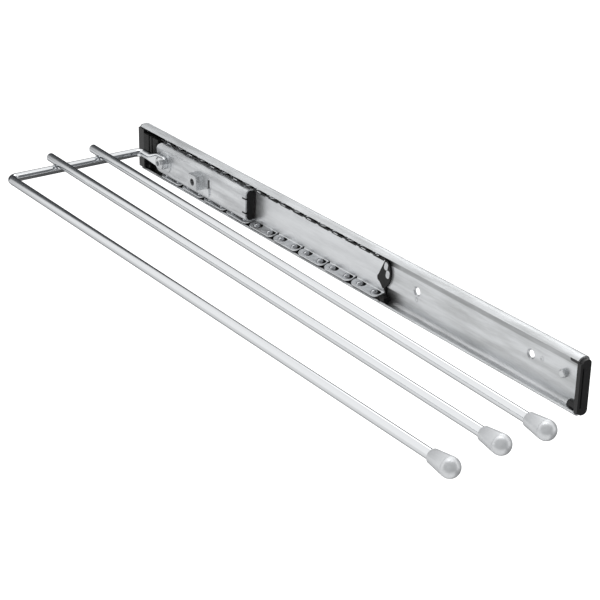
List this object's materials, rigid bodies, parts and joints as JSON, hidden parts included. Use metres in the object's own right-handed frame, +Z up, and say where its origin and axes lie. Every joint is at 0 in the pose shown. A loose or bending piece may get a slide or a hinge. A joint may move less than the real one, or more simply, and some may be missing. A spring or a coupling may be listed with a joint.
{
  "type": "pull-out trouser and towel rail",
  "caption": "Side-mounted ball slide with a short carriage and three parallel wire arms that pull out of a cabinet to hang trousers or towels.",
  "frame": {"origin": "middle of the rail's flat back face, which lies on the cabinet side", "axes": "+X along the rail, the way it pulls out; +Y towards the cabinet side; +Z up"},
  "size_m": [0.4869, 0.1227, 0.035],
  "materials": {
    "rail_steel": "bright plated",
    "cap_plastic": "matt black",
    "buffer_rubber": "matt black",
    "cage_steel": "zinc plated",
    "ball_steel": "polished",
    "carriage_steel": "zinc plated",
    "fastener_steel": "zinc plated",
    "wire_chrome": "bright chromed",
    "knob_plastic": "frosted grey"
  },
  "bodies": {
    "rail": {"outer_rail": "rail_steel", "front_end_cap": "cap_plastic", "rear_end_cap": "cap_plastic", "rear_buffer": "buffer_rubber"},
    "cage": {"ball_cage": "cage_steel", "upper_balls": "ball_steel", "lower_balls": "ball_steel", "cage_buffer": "buffer_rubber", "buffer_rivets": "fastener_steel"},
    "slider": {"carriage": "carriage_steel", "carriage_bumper": "buffer_rubber", "square_nut": "fastener_steel", "frame_rod": "wire_chrome", "middle_arm": "wire_chrome", "rear_arm": "wire_chrome", "weld_beads": "wire_chrome", "frame_screw": "fastener_steel", "lock_washer": "fastener_steel", "frame_nut": "fastener_steel", "front_knob": "knob_plastic", "middle_knob": "knob_plastic", "rear_knob": "knob_plastic"}
  },
  "joints": [
    {"name": "carriage_slide", "type": "slide", "parent": "rail", "child": "slider", "axis": [1, 0, 0], "range_m": [0, 0.2918]},
    {"name": "cage_roll", "type": "slide", "parent": "rail", "child": "cage", "axis": [1, 0, 0], "range_m": [0, 0.1459]}
  ],
  "couplings": [
    {"joint": "cage_roll", "follows": "carriage_slide", "ratio": 0.5}
  ]
}
